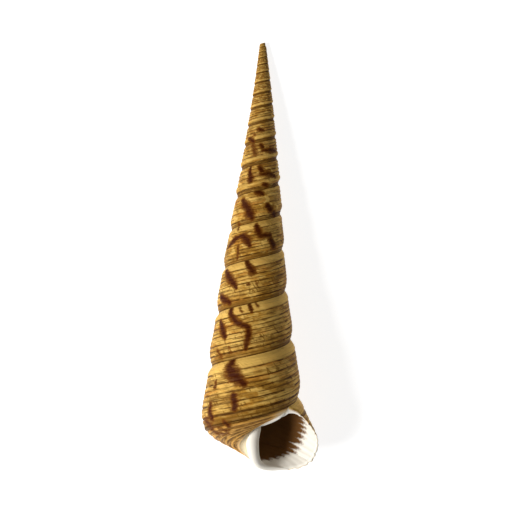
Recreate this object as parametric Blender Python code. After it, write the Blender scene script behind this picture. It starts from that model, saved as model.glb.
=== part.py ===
"""Turret shell: one high-spired, right-handed sea-snail shell lying on its side, mouth up.

Metres, +Z up. The shell rests on z = 0 with its tip towards +Y, its mouth towards -Y and its
outer lip towards +X. It is made in growth coordinates, then laid down by its object matrix:
the mesh Z axis is the coiling axis, the mesh origin is the virtual apex of the spiral, s is
the distance down the axis from there, and the mouth side of the shell faces mesh +Y.
Every whorl is the one above it turned once about the axis and scaled by WHORL_RATIO.
"""

import math

import bmesh
import bpy
from mathutils import Matrix, Vector

MM = 0.001

# Growth of the spiral.
WHORL_RATIO = 1.1803  # size of a whorl over the size of the one before it
TURNS = 17  # whorls from the lip back to the worn tip
STEPS = 20  # rings of points in one turn
LIP_SUTURE = 98.47 * MM  # s where the outer lip meets the whorl above
LIP_ANGLE = math.radians(51.0)  # of that point round the axis, from the mouth side towards +X
CONE_SLOPE = 0.1288  # radius over s along the fullest line of the whorls
LAST_FULLER = 0.018  # how much wider the last whorl is than that cone
FULLER_FROM, FULLER_TO = 1.45, 0.85  # turns back from the mouth over which it widens

# Depth of the wall inside the cone, over s, against v: 0 at one suture and 1 at the next.
WALL = ((0.0, 0.0136), (0.10, 0.0044), (0.24, 0.0028), (0.45, 0.0013),
        (0.66, 0.0), (0.76, 0.0008), (0.88, 0.0054), (1.0, 0.0136))
TIP_SHALLOWER = 0.55  # share of the suture's depth that is missing at the tip
SHALLOW_TO, DEEP_FROM = 15.0 * MM, 65.0 * MM  # s over which the suture deepens

# Base of the last whorl: (radius, s), both over the s of the suture at the same angle.
BASE = ((0.1215, 1.1985), (0.1000, 1.2115), (0.0750, 1.2205),
        (0.0480, 1.2275), (0.0220, 1.2315), (0.0, 1.2330))

# How far back along the growth the edge of the mouth lies, in turns: down the wall point by
# point from the suture, then round the base and in to the axis.
LIP_SWEEP = (0.0, 0.03, 0.055, 0.082, 0.105, 0.115, 0.125,
             0.135, 0.145, 0.165, 0.20, 0.26, 0.36, 0.48)
SWEEP_RINGS = 12  # rings over which the sweep fades out

# The last third of a turn spreads into an outer lip: the further from the axis and from the
# suture a point lies, the more it moves out.
FLARE = 0.19
FLARE_NONE, FLARE_FULL = 0.36, 0.06  # turns back from the mouth
FLARE_RADIUS = (0.03, 0.12)  # none and all of it, radius over the s of the suture
FLARE_S = (1.0, 1.11)  # none and all of it, s over the s of the suture

# Inside of a whorl: (radius, s) over the s of the suture, once round the section.
HOLLOW = ((0.1060, 1.0210), (0.1235, 1.0420), (0.1300, 1.0800), (0.1362, 1.1120),
          (0.1345, 1.1430), (0.1262, 1.1700), (0.1110, 1.1885), (0.0870, 1.2035),
          (0.0600, 1.2130), (0.0330, 1.2165), (0.0180, 1.2030), (0.0150, 1.1500),
          (0.0165, 1.0760), (0.0300, 1.0510), (0.0600, 1.0430), (0.0850, 1.0345))
HOLLOW_FRONT = 4  # rings that the cutter runs out past the mouth into the open air
HOLLOW_TURNS = 2.5  # turns back from the mouth to the end of the hollow

# Inner lip, in mm: a rounded ridge from the lip's top along the whorl above to the pillar that
# the whorls wind about, then down the pillar to the foot of the mouth: (x, y, s) and radius.
INNER_LIP = (((7.9, 6.4, 100.0), 0.35), ((6.5, 5.2, 101.2), 0.60), ((4.9, 3.9, 102.0), 0.80),
             ((3.1, 2.5, 102.7), 1.00), ((0.9, 0.8, 103.2), 1.60), ((0.2, 0.4, 105.0), 1.90),
             ((-0.2, 0.1, 107.5), 1.75), ((0.0, -0.3, 110.2), 1.55), ((0.5, -1.2, 112.5), 1.30),
             ((1.5, -2.4, 114.2), 1.05), ((3.1, -3.3, 115.1), 0.85), ((5.0, -3.8, 115.5), 0.65))
INNER_LIP_SIDES = 12
ON_AXIS = 0.001 * MM  # closer to the axis than this is on it

# The spire bends slightly sideways: (s, x), in mm.
BOW = ((0.0, 2.55), (20.0, 2.40), (30.0, 2.05), (45.0, 1.40), (55.0, 0.80), (66.0, 0.20), (75.0, 0.0))

# Lying down: a flat this deep, over s, is worn along the lowest line of the whorls. The centre
# is the middle of the shell as it would lie with the virtual apex over the origin.
FLAT_DEPTH = 0.0018
CENTRE = Vector((1.7897 * MM, -60.8194 * MM, 0.0))
FLOOR_SIZE = (200.0 * MM, 300.0 * MM, 20.0 * MM)  # of the cutter that wears the flats

TAN = (0.62, 0.38, 0.13, 1.0)
ROUGHNESS = 0.4


def eased(x):
    """0 below 0, 1 above 1, smooth between."""
    x = min(max(x, 0.0), 1.0)
    return x * x * (3.0 - 2.0 * x)


def ramp(x, start, end):
    """0 at the start, 1 at the end, smooth between."""
    return eased((x - start) / (end - start))


def between(pairs, x):
    """The value at x along pairs of (x, value), eased from each to the next."""
    for (x0, y0), (x1, y1) in zip(pairs, pairs[1:]):
        if x <= x1:
            return y0 + (y1 - y0) * ramp(x, x0, x1)
    return pairs[-1][1]


def suture_s(turns):
    """Distance down the axis of the suture, this many turns back from the lip."""
    return LIP_SUTURE * WHORL_RATIO ** -turns


def placed(turns, radius, s):
    """A section point, with radius and s over the suture's s, this many turns back from the lip."""
    wound = math.log(s, WHORL_RATIO)
    angle = LIP_ANGLE + 2.0 * math.pi * turns
    spread = ramp(turns, FLARE_NONE, FLARE_FULL) * ramp(radius, *FLARE_RADIUS) * ramp(s, *FLARE_S)
    fuller = 1.0 + LAST_FULLER * ramp(turns - wound, FULLER_FROM, FULLER_TO)
    r = radius * (1.0 + FLARE * spread) * fuller * suture_s(turns)
    return Vector((r * math.sin(angle), r * math.cos(angle), s * suture_s(turns)))


def wall_point(turns, v, depth):
    """A point of the visible wall, v of the way from its suture to the next one."""
    s = WHORL_RATIO ** v
    deepened = ramp(s * suture_s(turns), SHALLOW_TO, DEEP_FROM)
    depth *= 1.0 - TIP_SHALLOWER * (1.0 - deepened)
    return placed(turns, s * (CONE_SLOPE - depth), s)


def outside_point(ring, column):
    """The point of the shell's outside in this ring and column."""
    turns = ring / STEPS
    if ring < SWEEP_RINGS:
        turns += LIP_SWEEP[column] * (1.0 - ring / SWEEP_RINGS)
    if column < len(WALL):
        return wall_point(turns, *WALL[column])
    return placed(turns, *BASE[column - len(WALL)])


def chain_of(bm, points):
    """Vertices at the points, joined by edges in that order."""
    verts = [bm.verts.new(point) for point in points]
    for pair in zip(verts, verts[1:]):
        bm.edges.new(pair)
    return verts


def extruded(bm, chain, points, closed=False):
    """Extrudes a chain of vertices by one ring, onto the given points."""
    pairs = list(zip(chain, chain[1:]))
    if closed:
        pairs.append((chain[-1], chain[0]))
    edges = [bm.edges.get(pair) for pair in pairs]
    grown = bmesh.ops.extrude_edge_only(bm, edges=edges)["geom"]
    fresh = {v for v in grown if isinstance(v, bmesh.types.BMVert)}
    ring = [next(e.other_vert(v) for e in v.link_edges if e.other_vert(v) in fresh) for v in chain]
    for vert, point in zip(ring, points):
        vert.co = point
    return ring


def open_edges(bm):
    """The edges with one face."""
    return [edge for edge in bm.edges if edge.is_boundary]


def bend(bm):
    """Moves every vertex sideways by the bow of the spire at its s."""
    for vert in bm.verts:
        vert.co.x += between(BOW, vert.co.z / MM) * MM


def to_object(name, bm, collection):
    """Makes an object of the mesh, in the collection."""
    mesh = bpy.data.meshes.new(name)
    bm.to_mesh(mesh)
    bm.free()
    obj = bpy.data.objects.new(name, mesh)
    collection.objects.link(obj)
    return obj


def laid_down(name, bm, collection):
    """Makes the object from a mesh in growth coordinates, and lays it down."""
    bend(bm)
    bmesh.ops.recalc_face_normals(bm, faces=bm.faces)
    obj = to_object(name, bm, collection)
    lean = math.atan(CONE_SLOPE - FLAT_DEPTH)
    obj.matrix_world = Matrix.Translation(-CENTRE) @ Matrix.Rotation(math.pi / 2.0 - lean, 4, "X")
    return obj


def make_outside():
    """The whole outside as one closed mesh: whorls, base, a membrane over the mouth, worn tip.

    The membrane is a flat fan along the axis, where the base's inner end runs down the pillar,
    and a fill over the rest of the mouth.
    """
    bm = bmesh.new()
    columns = len(WALL) + len(BASE)
    chain = chain_of(bm, [outside_point(0, column) for column in range(columns)])
    for ring in range(1, STEPS + 1):
        chain = extruded(bm, chain, [outside_point(ring, column) for column in range(columns)])
    chain = chain[: len(WALL)]
    for ring in range(STEPS + 1, TURNS * STEPS + 1):
        chain = extruded(bm, chain, [outside_point(ring, column) for column in range(len(WALL))])
    bmesh.ops.remove_doubles(bm, verts=bm.verts, dist=ON_AXIS / 2.0)
    tip = [edge for edge in open_edges(bm) if edge.verts[0].co.z < LIP_SUTURE / 2.0]
    cap = bmesh.ops.contextual_create(bm, geom=tip)["faces"]
    bmesh.ops.poke(bm, faces=cap)
    pillar = [v for v in bm.verts if v.is_boundary and v.co.xy.length < ON_AXIS]
    foot, head = max(pillar, key=lambda v: v.co.z), min(pillar, key=lambda v: v.co.z)
    rim = next(e for e in foot.link_edges if e.is_boundary and e.other_vert(foot) not in pillar)
    brace = bm.edges.new((rim.other_vert(foot), head))
    line = [edge for edge in open_edges(bm) if all(v in pillar for v in edge.verts)]
    bmesh.ops.contextual_create(bm, geom=line + [rim, brace])
    bmesh.ops.triangle_fill(bm, use_beauty=True, edges=open_edges(bm), normal=(0.0, 1.0, 0.0))
    return bm


def make_hollow():
    """The cutter for the hollow: the inside of the last whorls, run out through the mouth."""
    bm = bmesh.new()
    first, last = -HOLLOW_FRONT, int(HOLLOW_TURNS * STEPS)
    chain = chain_of(bm, [placed(first / STEPS, *point) for point in HOLLOW])
    bm.edges.new((chain[-1], chain[0]))
    bm.faces.new(chain)
    for ring in range(first + 1, last + 1):
        chain = extruded(bm, chain, [placed(ring / STEPS, *point) for point in HOLLOW], closed=True)
    bmesh.ops.contextual_create(bm, geom=open_edges(bm))
    return bm


def make_inner_lip():
    """The inner lip as a round tapered tube along its path, with closed ends."""
    bm = bmesh.new()
    path = [Vector(point) * MM for point, _ in INNER_LIP]
    chain = None
    for index, (centre, (_, radius)) in enumerate(zip(path, INNER_LIP)):
        along = path[min(index + 1, len(path) - 1)] - path[max(index - 1, 0)]
        turn = Vector((0.0, 0.0, 1.0)).rotation_difference(along).to_matrix()
        ring = []
        for side in range(INNER_LIP_SIDES):
            angle = 2.0 * math.pi * side / INNER_LIP_SIDES
            ring.append(centre + turn @ Vector((math.cos(angle), math.sin(angle), 0.0)) * radius * MM)
        if chain is None:
            chain = chain_of(bm, ring)
            bm.edges.new((chain[-1], chain[0]))
            bm.faces.new(chain)
        else:
            chain = extruded(bm, chain, ring, closed=True)
    bmesh.ops.contextual_create(bm, geom=open_edges(bm))
    return bm


def make_floor():
    """The slab under z = 0, placed by its object."""
    bm = bmesh.new()
    bmesh.ops.create_cube(bm, size=1.0, matrix=Matrix.Diagonal((*FLOOR_SIZE, 1.0)))
    return bm


def boolean(obj, tool, operation):
    """Adds an exact Boolean with the tool to the object."""
    modifier = obj.modifiers.new(tool.name, "BOOLEAN")
    modifier.operation = operation
    modifier.solver = "EXACT"
    modifier.object = tool


def shell_material():
    """Tan, half-glossy shell."""
    material = bpy.data.materials.new("shell")
    material.use_nodes = True
    surface = material.node_tree.nodes["Principled BSDF"]
    surface.inputs["Base Color"].default_value = TAN
    surface.inputs["Roughness"].default_value = ROUGHNESS
    surface.inputs["Metallic"].default_value = 0.0
    material.diffuse_color = TAN
    return material


def main():
    """Clears the scene, makes the shell and its cutters, and cuts the shell."""
    for obj in list(bpy.data.objects):
        bpy.data.objects.remove(obj)
    model = bpy.data.collections.new("turret_shell_model")
    tools = bpy.data.collections.new("turret_shell_cutters")
    bpy.context.scene.collection.children.link(model)
    bpy.context.scene.collection.children.link(tools)

    shell = laid_down("turret_shell", make_outside(), model)
    shell.data.materials.append(shell_material())
    hollow = laid_down("hollow_cutter", make_hollow(), tools)
    inner_lip = laid_down("inner_lip_tool", make_inner_lip(), tools)
    floor = to_object("floor_cutter", make_floor(), tools)
    floor.location.z = -FLOOR_SIZE[2] / 2.0

    boolean(shell, hollow, "DIFFERENCE")
    boolean(shell, inner_lip, "UNION")
    boolean(shell, floor, "DIFFERENCE")
    for tool in (hollow, inner_lip, floor):
        tool.hide_render = True
        tool.display_type = "WIRE"


main()
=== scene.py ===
"""The look of a turret shell: one high-spired, right-handed sea-snail shell lying mouth up.

The shell is grown here from the same laws as its solid, finely enough to carry its spiral
cords, its lip and the inside of its mouth, and is laid where the solid lies. Lengths in the
growth laws are in millimetres and become metres in Spiral.laid_down. A place on the shell has
three names: turns back from the mouth, v down the wall from one suture (0) to the next (1) and
on over the base (up to 1.8), and s, the distance down the coiling axis from the virtual apex.
"""

import logging
import math
from dataclasses import dataclass, field
from enum import Enum
from typing import NamedTuple, Sequence

import bmesh
import bpy
import numpy as np
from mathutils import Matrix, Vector


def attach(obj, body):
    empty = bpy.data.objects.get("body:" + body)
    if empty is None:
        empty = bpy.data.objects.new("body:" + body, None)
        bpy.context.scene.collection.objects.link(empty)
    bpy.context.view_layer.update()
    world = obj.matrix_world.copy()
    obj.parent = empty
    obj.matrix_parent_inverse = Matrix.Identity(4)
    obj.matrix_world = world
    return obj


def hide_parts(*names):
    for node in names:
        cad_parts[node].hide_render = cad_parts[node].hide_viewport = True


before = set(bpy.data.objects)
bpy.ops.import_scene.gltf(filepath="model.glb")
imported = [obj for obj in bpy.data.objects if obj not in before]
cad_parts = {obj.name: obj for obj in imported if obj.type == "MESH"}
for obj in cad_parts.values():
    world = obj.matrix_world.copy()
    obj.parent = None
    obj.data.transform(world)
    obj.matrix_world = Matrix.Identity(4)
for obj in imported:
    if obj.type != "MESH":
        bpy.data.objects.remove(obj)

log = logging.getLogger("turret_shell")
logging.basicConfig(level=logging.INFO, format="%(name)s: %(message)s")

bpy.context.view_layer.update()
METRES_PER_MM = 0.001
WELD_M = 2e-7
TURN = 2.0 * math.pi
WAVER_OCTAVES = 4
WAVER_FINER = 1.9
WAVER_WEAKER = 1.7
WAVER_SCALE = 2.2
WAVER_SPREAD = (0.75, 1.35)
MIX_COLOURS = (6, 7)
MIX_RESULT = 2

Array = np.ndarray
Row = tuple[float, ...]
Pair = tuple[float, float]
Triple = tuple[float, float, float]
Socket = bpy.types.NodeSocket


# ---------------------------------------------------------------- curves


def eased(x: Array) -> Array:
    """0 below 0, 1 above 1, smooth between."""
    x = np.clip(x, 0.0, 1.0)
    return x * x * (3.0 - 2.0 * x)


def ramp(x: Array, start: float, end: float) -> Array:
    """0 at the start, 1 at the end, smooth between; the end may lie below the start."""
    return eased((np.asarray(x, float) - start) / (end - start))


def through(knots: Sequence[float], values: Sequence[float], at: Array) -> Array:
    """A smooth curve through values.

    Args:
        knots: rising places of the values.
        values: the value at each knot.
        at: places to read the curve at.

    Returns:
        The curve's value at each place, from cubic pieces with matching slopes.
    """
    x, y = np.asarray(knots, float), np.asarray(values, float)
    slope = np.gradient(y, x)
    piece = np.clip(np.searchsorted(x, at, "right") - 1, 0, len(x) - 2)
    width = x[piece + 1] - x[piece]
    u = np.clip((at - x[piece]) / width, 0.0, 1.0)
    ends = y[piece] * (1 + 2 * u) * (1 - u) ** 2 + y[piece + 1] * u * u * (3 - 2 * u)
    return ends + width * (slope[piece] * u * (1 - u) ** 2 - slope[piece + 1] * u * u * (1 - u))


def wavering(x: Array, seed: int, pitch: float) -> Array:
    """An uneven waver along x: a few waves, each finer and weaker than the one before.

    Args:
        x: places to read the waver at.
        seed: picks the waver.
        pitch: the length of its broadest wave.

    Returns:
        The waver at each place, between about -1 and 1.
    """
    dice = np.random.default_rng(seed)
    total = np.zeros_like(np.asarray(x, float))
    for octave in range(WAVER_OCTAVES):
        turn, shift = dice.uniform(*WAVER_SPREAD), dice.uniform(0.0, TURN)
        total += np.sin(TURN * x * turn * WAVER_FINER**octave / pitch + shift) / WAVER_WEAKER**octave
    return total / WAVER_SCALE


# ---------------------------------------------------------------- growth


@dataclass(frozen=True)
class Spiral:
    """The growth of the shell: every whorl is the one above it, turned once and scaled.

    Slopes, depths and radii are over the s of the suture; lip_suture, deep_suture, bow_s,
    bow_x and centre are in mm. A pair is the two ends of a ramp, but centre is a place.
    """

    whorl_ratio: float = 1.1803
    lip_suture: float = 98.47
    lip_degrees: float = 51.0
    cone_slope: float = 0.1288
    last_fuller: float = 0.018
    fuller: Pair = (1.45, 0.85)
    flare: float = 0.19
    flare_turns: Pair = (0.36, 0.06)
    flare_radius: Pair = (0.03, 0.12)
    flare_s: Pair = (1.0, 1.11)
    wall_v: Row = (0.0, 0.10, 0.24, 0.45, 0.66, 0.76, 0.88, 1.0)
    wall_depth: Row = (0.0136, 0.0044, 0.0028, 0.0013, 0.0, 0.0008, 0.0054, 0.0136)
    tip_shallower: float = 0.55
    deep_suture: Pair = (15.0, 65.0)
    bow_s: Row = (0.0, 20.0, 30.0, 45.0, 55.0, 66.0, 75.0)
    bow_x: Row = (2.55, 2.40, 2.05, 1.40, 0.80, 0.20, 0.0)
    flat_depth: float = 0.0018
    centre: Pair = (1.7897, -60.8194)

    @property
    def lean(self) -> float:
        """The angle, in radians, between the coiling axis and the floor."""
        return math.atan(self.cone_slope - self.flat_depth)

    def suture(self, turns: Array) -> Array:
        """The s of the suture, in mm, this many turns back from the mouth."""
        return self.lip_suture * self.whorl_ratio ** -np.asarray(turns, float)

    def angle(self, turns: Array) -> Array:
        """The angle round the axis, in radians, from the mouth side towards the outer lip."""
        return math.radians(self.lip_degrees) + TURN * np.asarray(turns, float)

    def laid_down(self, x: Array, depth: Array, s: Array) -> Array:
        """Lays the shell down on its back, bows its spire, and presses it flat on the floor.

        Args:
            x: mm from the axis, towards the outer lip.
            depth: mm from the axis, towards the mouth side.
            s: mm down the axis.

        Returns:
            The places in metres where the shell lies, none of them under the floor.
        """
        x = x + through(self.bow_s, self.bow_x, np.clip(s, self.bow_s[0], self.bow_s[-1]))
        y = depth * math.sin(self.lean) - s * math.cos(self.lean)
        z = depth * math.cos(self.lean) + s * math.sin(self.lean)
        placed = np.stack([x - self.centre[0], y - self.centre[1], np.maximum(z, 0.0)], axis=-1)
        return placed * METRES_PER_MM

    def place(self, turns: Array, radius: Array, s: Array) -> Array:
        """Places section points.

        Args:
            turns: turns back from the mouth of the section.
            radius: distance from the axis, over the s of the section's suture.
            s: distance down the axis, over the s of the section's suture.

        Returns:
            The points in metres, where the shell lies.
        """
        turns, radius, s = np.broadcast_arrays(np.asarray(turns, float), radius, s)
        wound = np.log(s) / math.log(self.whorl_ratio)
        spread = ramp(turns, *self.flare_turns) * ramp(radius, *self.flare_radius)
        spread = spread * ramp(s, *self.flare_s)
        fuller = 1.0 + self.last_fuller * ramp(turns - wound, *self.fuller)
        suture = self.suture(turns)
        r = radius * (1.0 + self.flare * spread) * fuller * suture
        return self.laid_down(r * np.sin(self.angle(turns)), r * np.cos(self.angle(turns)), s * suture)

    def wall(self, turns: Array, v: Array, relief: Array) -> tuple[Array, Array]:
        """The section of the wall, hollowed at the suture.

        Args:
            turns: turns back from the mouth.
            v: place down the wall.
            relief: what stands out from the smooth wall there, over the suture's s.

        Returns:
            The radius and the s of the wall, over the suture's s.
        """
        s = self.whorl_ratio**v
        depth = through(self.wall_v, self.wall_depth, v)
        deepened = ramp(s * self.suture(turns), *self.deep_suture)
        depth = depth * (1.0 - self.tip_shallower * (1.0 - deepened))
        return s * (self.cone_slope - depth + relief), s * np.ones_like(depth)


@dataclass(frozen=True)
class Sweep:
    """How far back the growing edge lies, in turns, from the top of the lip round to the pillar."""

    wall: Row = (0.0, 0.03, 0.055, 0.082, 0.105, 0.115, 0.125, 0.135)
    base: Row = (0.135, 0.145, 0.165, 0.20, 0.26, 0.36, 0.48)
    pillar: float = 0.08
    fading: float = 0.6

    def turns(self, ring_turns: Array, sweep: Array) -> Array:
        """Turns of the points of rings that lie back by the sweep, less so away from the mouth."""
        return ring_turns + sweep * np.clip(1.0 - ring_turns / self.fading, 0.0, 1.0)


# ---------------------------------------------------------------- ornament


@dataclass(frozen=True)
class Cords:
    """The raised spiral cords of the wall and the base, and the grooves between them.

    The relief fades out at the suture, and is whole from from_suture to to_suture. On the
    last whorl it runs on over the base, from runs_on turns to the mouth; further back it
    fades towards the base from to_base.
    """

    grooves: Row = (0.195, 0.28, 0.365, 0.45, 0.53, 0.61, 0.69, 0.775, 0.865, 0.94)
    strengths: Row = (0.8, 0.6, 1.0, 0.65, 0.9, 0.7, 1.0, 0.75, 1.5, 0.9)
    groove_depth: float = 0.0019
    groove_shape: float = 1.9
    first_reach: float = 0.10
    after_last: float = 1.03
    keel_v: Row = (
        0.0, 0.08, 0.15, 0.23, 0.30, 0.38, 0.45, 0.53, 0.59, 0.69, 0.78, 0.86, 0.95, 1.0,
    )
    keel: Row = (
        -0.5, 0.55, -0.8, 0.5, -0.7, 0.45, -0.75, 0.5, -0.55, 1.0, 0.6, -1.0, -1.0, -0.5,
    )
    keel_height: float = 0.0042
    keel_turns: Pair = (3.6, 6.5)
    keel_over_relief: float = 0.8
    keel_over_tone: float = 0.75
    from_suture: float = 0.03
    to_suture: float = 0.975
    to_base: float = 0.96
    runs_on: float = 0.85
    base_grooves: Row = (0.035, 0.165, 0.29, 0.41, 0.535, 0.665, 0.80)
    base_depth: float = 0.0050
    base_half: float = 0.064
    base_shape: Pair = (1.45, 1.35)
    base_end: float = 0.86
    cord_points: Row = (0.0, 0.16, 0.38, 0.62, 0.84)
    band_points: Row = (0.0, 0.012, 0.03, 0.06, 0.10, 0.145)
    seam_points: Row = (0.988, 1.0)

    def wall_columns(self) -> Array:
        """Places down the wall that the mesh has points at, close at the suture and the grooves.

        Returns:
            The v of each column.
        """
        columns = list(self.band_points)
        for start, end in zip(self.grooves, (*self.grooves[1:], 1.0)):
            columns += [start + (end - start) * part for part in self.cord_points]
        return np.array([*columns, *self.seam_points])

    def _fine(self, v: Array) -> Array:
        """The ordinary grooves, rounded at both sides.

        Args:
            v: place down the wall.

        Returns:
            About -1 in a groove, and 0 on the cords and the smooth band.
        """
        total = np.zeros_like(v)
        for index, (groove, strength) in enumerate(zip(self.grooves, self.strengths)):
            before = self.grooves[index - 1] if index else groove - self.first_reach
            after = (*self.grooves, self.after_last)[index + 1]
            half = np.where(v < groove, groove - before, after - groove) / 2.0
            inside = np.clip(1.0 - np.abs(v - groove) / half, 0.0, 1.0)
            total = total - strength * inside**self.groove_shape
        return total

    def wall_relief(self, turns: Array, v: Array) -> tuple[Array, Array]:
        """Relief of the wall.

        Args:
            turns: turns back from the mouth.
            v: place down the wall.

        Returns:
            The outward relief over the s of the suture, and the tone: -1 in a groove, 0 on
            an ordinary cord and 1 on the pale keel of the upper whorls.
        """
        keeled = ramp(turns, *self.keel_turns)
        fine, keel = self._fine(v), through(self.keel_v, self.keel, v)
        depth = (1 - self.keel_over_relief * keeled) * self.groove_depth * fine
        depth = depth + keeled * self.keel_height * keel
        tone = (1 - self.keel_over_tone * keeled) * fine + keeled * keel
        over_base = np.maximum(ramp(turns, 1.0, self.runs_on), ramp(v, 1.0, self.to_base))
        held = np.where(turns < 1.0, over_base, ramp(v, 1.0, self.to_suture))
        return depth * held * ramp(v, 0.0, self.from_suture), tone

    def base_relief(self, b: Array) -> tuple[Array, Array]:
        """Relief of the base, whose grooves have flat floors.

        Args:
            b: place on the base, from the periphery (0) to the axis (1).

        Returns:
            The outward relief over the s of the suture, and the tone, -1 in a groove.
        """
        floor, slope = self.base_shape
        total = np.zeros_like(b)
        for groove in self.base_grooves:
            total = total - np.clip(floor - slope * np.abs(b - groove) / self.base_half, 0.0, 1.0)
        fading = ramp(b, 1.0, self.base_end)
        return self.base_depth * total * fading, total * fading


@dataclass(frozen=True)
class Streak:
    """One brown marking, drawn as a stroke of changing width.

    Points are (degrees from the mouth side, v, half width in whorl heights).
    """

    whorl: int
    points: tuple[Triple, ...]
    strength: float = 1.0


SEEN_STREAKS: tuple[Streak, ...] = (
    # the last whorl
    Streak(0, ((-29, 0.00, 0.05), (-32, 0.12, 0.10), (-25, 0.26, 0.11), (-17, 0.36, 0.08))),
    Streak(0, ((-17, 0.36, 0.08), (-10, 0.45, 0.05))),
    Streak(0, ((-52, 0.31, 0.03), (-52, 0.40, 0.04)), 0.8),
    Streak(0, ((-23, 0.60, 0.045), (-21, 0.72, 0.05), (-21, 0.81, 0.04))),
    Streak(0, ((-56, 0.66, 0.04), (-58, 0.78, 0.055), (-55, 0.88, 0.05)), 0.9),
    Streak(0, ((-37, 0.97, 0.04), (-33, 1.06, 0.05)), 0.8),
    Streak(0, ((-70, 0.90, 0.07), (-62, 0.97, 0.08), (-64, 1.10, 0.08)), 0.62),
    Streak(0, ((-66, 1.14, 0.07), (-54, 1.20, 0.08), (-44, 1.26, 0.05)), 0.52),
    Streak(0, ((-50, 1.08, 0.05), (-44, 1.15, 0.06), (-36, 1.18, 0.04)), 0.55),
    # the whorl above it
    Streak(1, ((-40, 0.00, 0.05), (-35, 0.16, 0.055), (-26, 0.31, 0.05), (-15, 0.40, 0.045))),
    Streak(1, ((-15, 0.40, 0.045), (-7, 0.46, 0.05), (-6, 0.60, 0.055), (-8, 0.73, 0.05))),
    Streak(1, ((-8, 0.73, 0.05), (-10, 0.86, 0.03))),
    Streak(1, ((-22, 0.04, 0.03), (-16, 0.16, 0.03)), 0.55),
    Streak(1, ((-6, 0.01, 0.035), (-2, 0.16, 0.035))),
    Streak(1, ((4, 0.01, 0.03), (8, 0.09, 0.03)), 0.6),
    Streak(1, ((-58, 0.22, 0.04), (-49, 0.41, 0.075), (-42, 0.57, 0.04))),
    Streak(1, ((-56, 0.76, 0.04), (-49, 0.90, 0.04)), 0.6),
    Streak(1, ((-34, 0.75, 0.03), (-32, 0.87, 0.03)), 0.5),
    # the third
    Streak(2, ((-62, 0.12, 0.05), (-49, 0.30, 0.085), (-36, 0.47, 0.07), (-29, 0.60, 0.03))),
    Streak(2, ((-64, 0.70, 0.06), (-52, 0.80, 0.08), (-42, 0.88, 0.05))),
    Streak(2, ((-17, 0.00, 0.04), (-9, 0.15, 0.065), (-2, 0.30, 0.08))),
    Streak(2, ((-10, 0.56, 0.035), (-6, 0.58, 0.03)), 0.7),
    Streak(2, ((4, 0.55, 0.03), (6, 0.62, 0.03)), 0.5),
    # the fourth
    Streak(3, ((-66, 0.50, 0.04), (-50, 0.38, 0.09), (-37, 0.31, 0.05), (-28, 0.32, 0.07))),
    Streak(3, ((-28, 0.32, 0.07), (-18, 0.46, 0.10), (-11, 0.63, 0.05))),
    Streak(3, ((-36, 0.58, 0.035), (-34, 0.75, 0.04), (-36, 0.90, 0.03)), 0.7),
    Streak(3, ((-45, 0.04, 0.04), (-43, 0.10, 0.04)), 0.8),
    Streak(3, ((-1, 0.10, 0.06), (4, 0.26, 0.09), (9, 0.41, 0.07), (30, 0.46, 0.06))),
    Streak(3, ((31, 0.58, 0.07), (39, 0.78, 0.07))),
    # the fifth
    Streak(4, ((-41, 0.22, 0.08), (-32, 0.38, 0.12), (-24, 0.52, 0.10), (-18, 0.68, 0.14))),
    Streak(4, ((-18, 0.68, 0.14), (-12, 0.84, 0.08))),
    Streak(4, ((23, 0.56, 0.08), (31, 0.70, 0.09))),
    Streak(4, ((41, 0.84, 0.08), (49, 0.95, 0.06)), 0.9),
    Streak(4, ((-6, 0.00, 0.08), (4, 0.08, 0.11), (12, 0.16, 0.05))),
    Streak(4, ((-47, 0.92, 0.05), (-45, 0.97, 0.05)), 0.7),
    # the sixth
    Streak(5, ((-30, 0.02, 0.05), (-29, 0.25, 0.06), (-25, 0.50, 0.12), (-24, 0.60, 0.08))),
    Streak(5, ((0, 0.12, 0.08), (8, 0.30, 0.09))),
    Streak(5, ((4, 0.40, 0.08), (26, 0.45, 0.12), (49, 0.60, 0.07)), 0.75),
    Streak(5, ((13, 0.80, 0.07), (24, 0.88, 0.07)), 0.9),
    # the seventh and eighth
    Streak(6, ((-31, 0.03, 0.09), (-24, 0.25, 0.13), (-16, 0.50, 0.12)), 0.65),
    Streak(6, ((0, 0.15, 0.09), (8, 0.28, 0.08)), 0.9),
    Streak(6, ((6, 0.42, 0.07), (36, 0.48, 0.13), (62, 0.57, 0.09)), 0.75),
    Streak(7, ((-46, 0.70, 0.10), (-36, 0.80, 0.13), (-28, 0.90, 0.07)), 0.9),
    Streak(7, ((-9, 0.31, 0.10), (1, 0.38, 0.11), (12, 0.46, 0.05)), 0.85),
    Streak(7, ((-26, 0.55, 0.06), (-23, 0.58, 0.06)), 0.6),
)


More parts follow.
